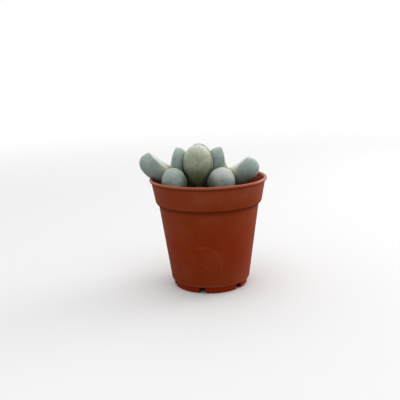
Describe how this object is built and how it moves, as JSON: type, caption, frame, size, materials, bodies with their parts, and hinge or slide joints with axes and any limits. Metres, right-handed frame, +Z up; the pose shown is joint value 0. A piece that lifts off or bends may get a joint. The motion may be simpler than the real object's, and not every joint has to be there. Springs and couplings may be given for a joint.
{
  "type": "potted karoo rose",
  "caption": "Small stone-like succulent with three heads of thick keeled leaves, standing in soil in a round collared nursery pot.",
  "frame": {"origin": "the middle of the pot's underside, on the surface that the pot stands on", "axes": "+Z up, -Y towards the front, where the upright centre pair faces, +X to the right seen from the front"},
  "size_m": [0.0596, 0.055, 0.0674],
  "materials": {
    "pot_plastic": "satin injection-moulded terracotta-coloured plastic",
    "potting_mix": "dark crumbly potting mix with mineral grit",
    "root": "dry corky stem and taproot",
    "leaf": "waxy grey-green succulent skin with fine speckles",
    "young_leaf": "waxy olive-grey succulent skin, brownish towards the base"
  },
  "bodies": {
    "root": {"pot": "pot_plastic", "soil": "potting_mix", "rootstock": "root", "centre_head_front_leaf": "young_leaf", "centre_head_back_leaf": "young_leaf", "left_head_inner_leaf": "leaf", "left_head_outer_leaf": "leaf", "left_head_front_leaf": "leaf", "left_head_back_leaf": "leaf", "right_head_inner_leaf": "leaf", "right_head_outer_leaf": "leaf", "right_head_front_leaf": "leaf", "right_head_back_leaf": "leaf"}
  },
  "joints": []
}
